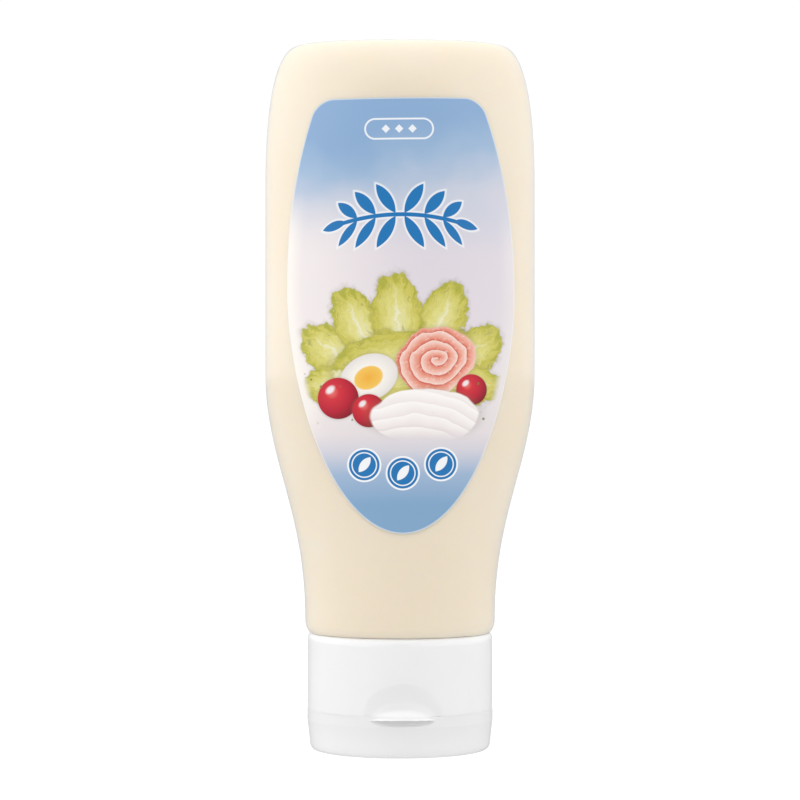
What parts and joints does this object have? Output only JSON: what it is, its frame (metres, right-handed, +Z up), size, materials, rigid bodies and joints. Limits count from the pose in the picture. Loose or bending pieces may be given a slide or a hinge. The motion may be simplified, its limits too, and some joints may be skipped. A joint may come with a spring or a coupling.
{
  "type": "mayonnaise squeeze bottle",
  "caption": "Oval squeeze bottle of mayonnaise with a narrow round foot and a soft-cornered base, labelled front and back, standing upside down on a round flip-top cap with a thumb scoop.",
  "frame": {"origin": "middle of the cap's flat end, where the upside-down bottle stands on the table", "axes": "+Z up, from the cap towards the bottle's base; -Y out of the front label; +X to the right of someone who faces the front label"},
  "size_m": [0.0754, 0.056, 0.1961],
  "materials": {
    "clear_wall": "clear, smooth, slightly soft gloss",
    "mayonnaise": "smooth pale cream, moist satin",
    "label_film": "printed film, satin, sky blue fading to white",
    "cap_plastic": "white moulded plastic, satin"
  },
  "bodies": {
    "root": {"bottle": "clear_wall", "mayonnaise": "mayonnaise", "label_front": "label_film", "label_back": "label_film", "cap_skirt": "cap_plastic", "cap_lid": "cap_plastic"}
  },
  "joints": []
}
